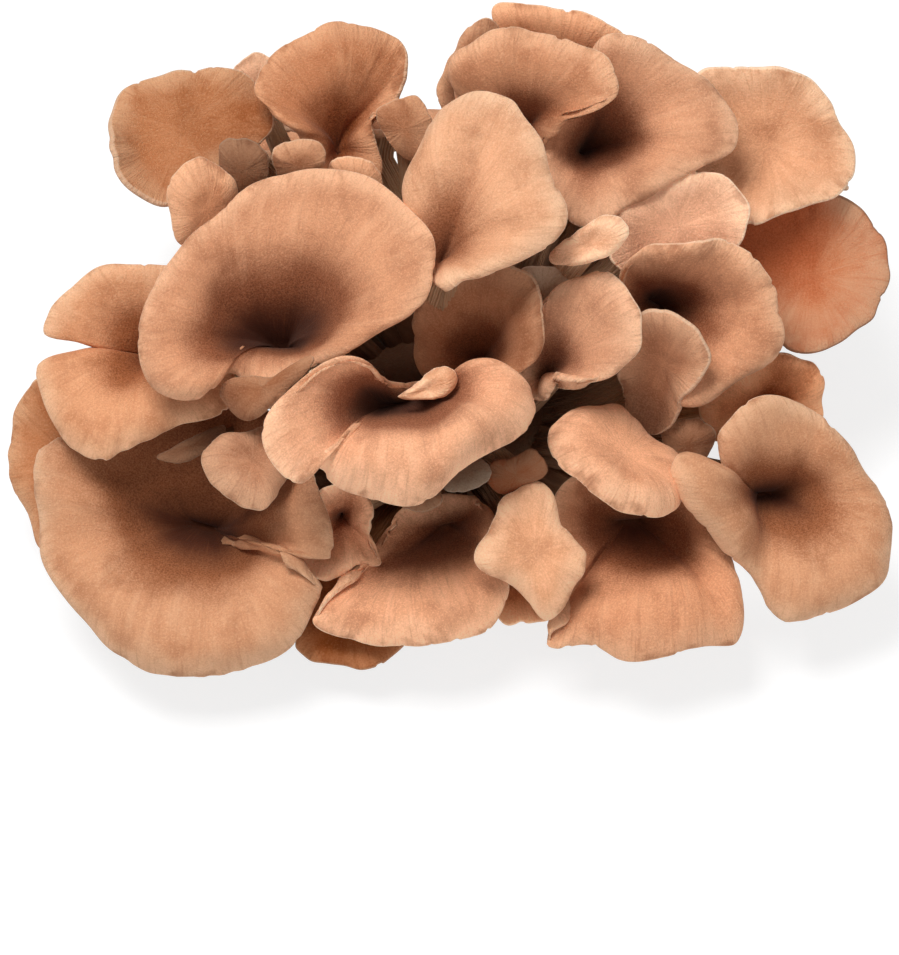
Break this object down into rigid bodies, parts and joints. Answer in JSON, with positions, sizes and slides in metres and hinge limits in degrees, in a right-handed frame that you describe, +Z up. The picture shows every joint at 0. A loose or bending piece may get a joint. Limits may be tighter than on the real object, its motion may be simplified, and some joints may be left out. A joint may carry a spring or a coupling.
{
  "type": "maitake mushroom",
  "caption": "Crowded head of thin funnel and fan shaped mushroom fronds, each on its own stalk, joined on one lumpy butt cut flat to rest on.",
  "frame": {"origin": "middle of the cut flat under the butt", "axes": "+X along the head's longest extent, +Y to its back, +Z up"},
  "size_m": [0.2005, 0.1543, 0.1085],
  "materials": {
    "frond_tan": "matt velvety tan skin with pale rim",
    "frond_brown": "matt velvety brown skin, darker in the throat",
    "frond_rust": "matt rust brown skin with wrinkled rim",
    "frond_pale": "matt cream flesh",
    "butt_flesh": "matt cream, firm and fibrous, browner near the cut"
  },
  "bodies": {
    "root": {"base_butt": "butt_flesh", "frond_crown_shell": "frond_tan", "frond_left_funnel": "frond_brown", "frond_teardrop_cap": "frond_tan", "frond_collar_bud_left": "frond_brown", "frond_front_kidney_cap": "frond_brown", "frond_front_right_scroll": "frond_brown", "frond_right_front_funnel": "frond_tan", "frond_front_left_bowl": "frond_tan", "frond_back_saddle": "frond_brown", "frond_centre_right_fan": "frond_brown", "frond_top_tall_fan": "frond_brown", "frond_top_left_fan": "frond_tan", "frond_front_folded_flap": "frond_tan", "frond_left_split_fan": "frond_tan", "frond_front_centre_scoop": "frond_brown", "frond_front_right_skirt": "frond_brown", "frond_left_drop_cap": "frond_brown", "frond_right_dark_funnel": "frond_brown", "frond_back_right_funnel": "frond_brown", "frond_right_rust_funnel": "frond_rust", "frond_right_wide_funnel": "frond_tan", "frond_right_flat_fan": "frond_brown", "frond_centre_dark_funnel": "frond_brown", "frond_tongue_cap": "frond_tan", "frond_top_left_small_funnel": "frond_brown", "frond_collar_bud_far": "frond_brown", "frond_left_curl_cap": "frond_brown", "frond_inner_right_fan": "frond_brown", "frond_right_under_fan": "frond_brown", "frond_far_left_fan": "frond_tan", "frond_back_ridge_fan": "frond_brown", "frond_back_low_middle": "frond_brown", "frond_back_low_left": "frond_brown", "frond_back_low_right": "frond_brown", "frond_back_mid_left": "frond_brown", "frond_back_mid_right": "frond_brown", "frond_back_side_left": "frond_brown", "frond_back_side_right": "frond_brown", "frond_top_gap_fan": "frond_brown", "frond_front_low_fan": "frond_brown", "frond_front_gap_fan": "frond_brown", "frond_back_lobe": "frond_brown", "frond_pale_sliver": "frond_pale", "frond_collar_bud_right": "frond_brown", "frond_top_left_bud": "frond_brown", "frond_left_gap_bud": "frond_brown", "frond_right_gap_bud": "frond_brown", "frond_front_under_fan": "frond_brown", "frond_front_curl_bud": "frond_rust", "frond_pale_inner_bud": "frond_pale", "frond_dark_inner_bud": "frond_brown"}
  },
  "joints": []
}
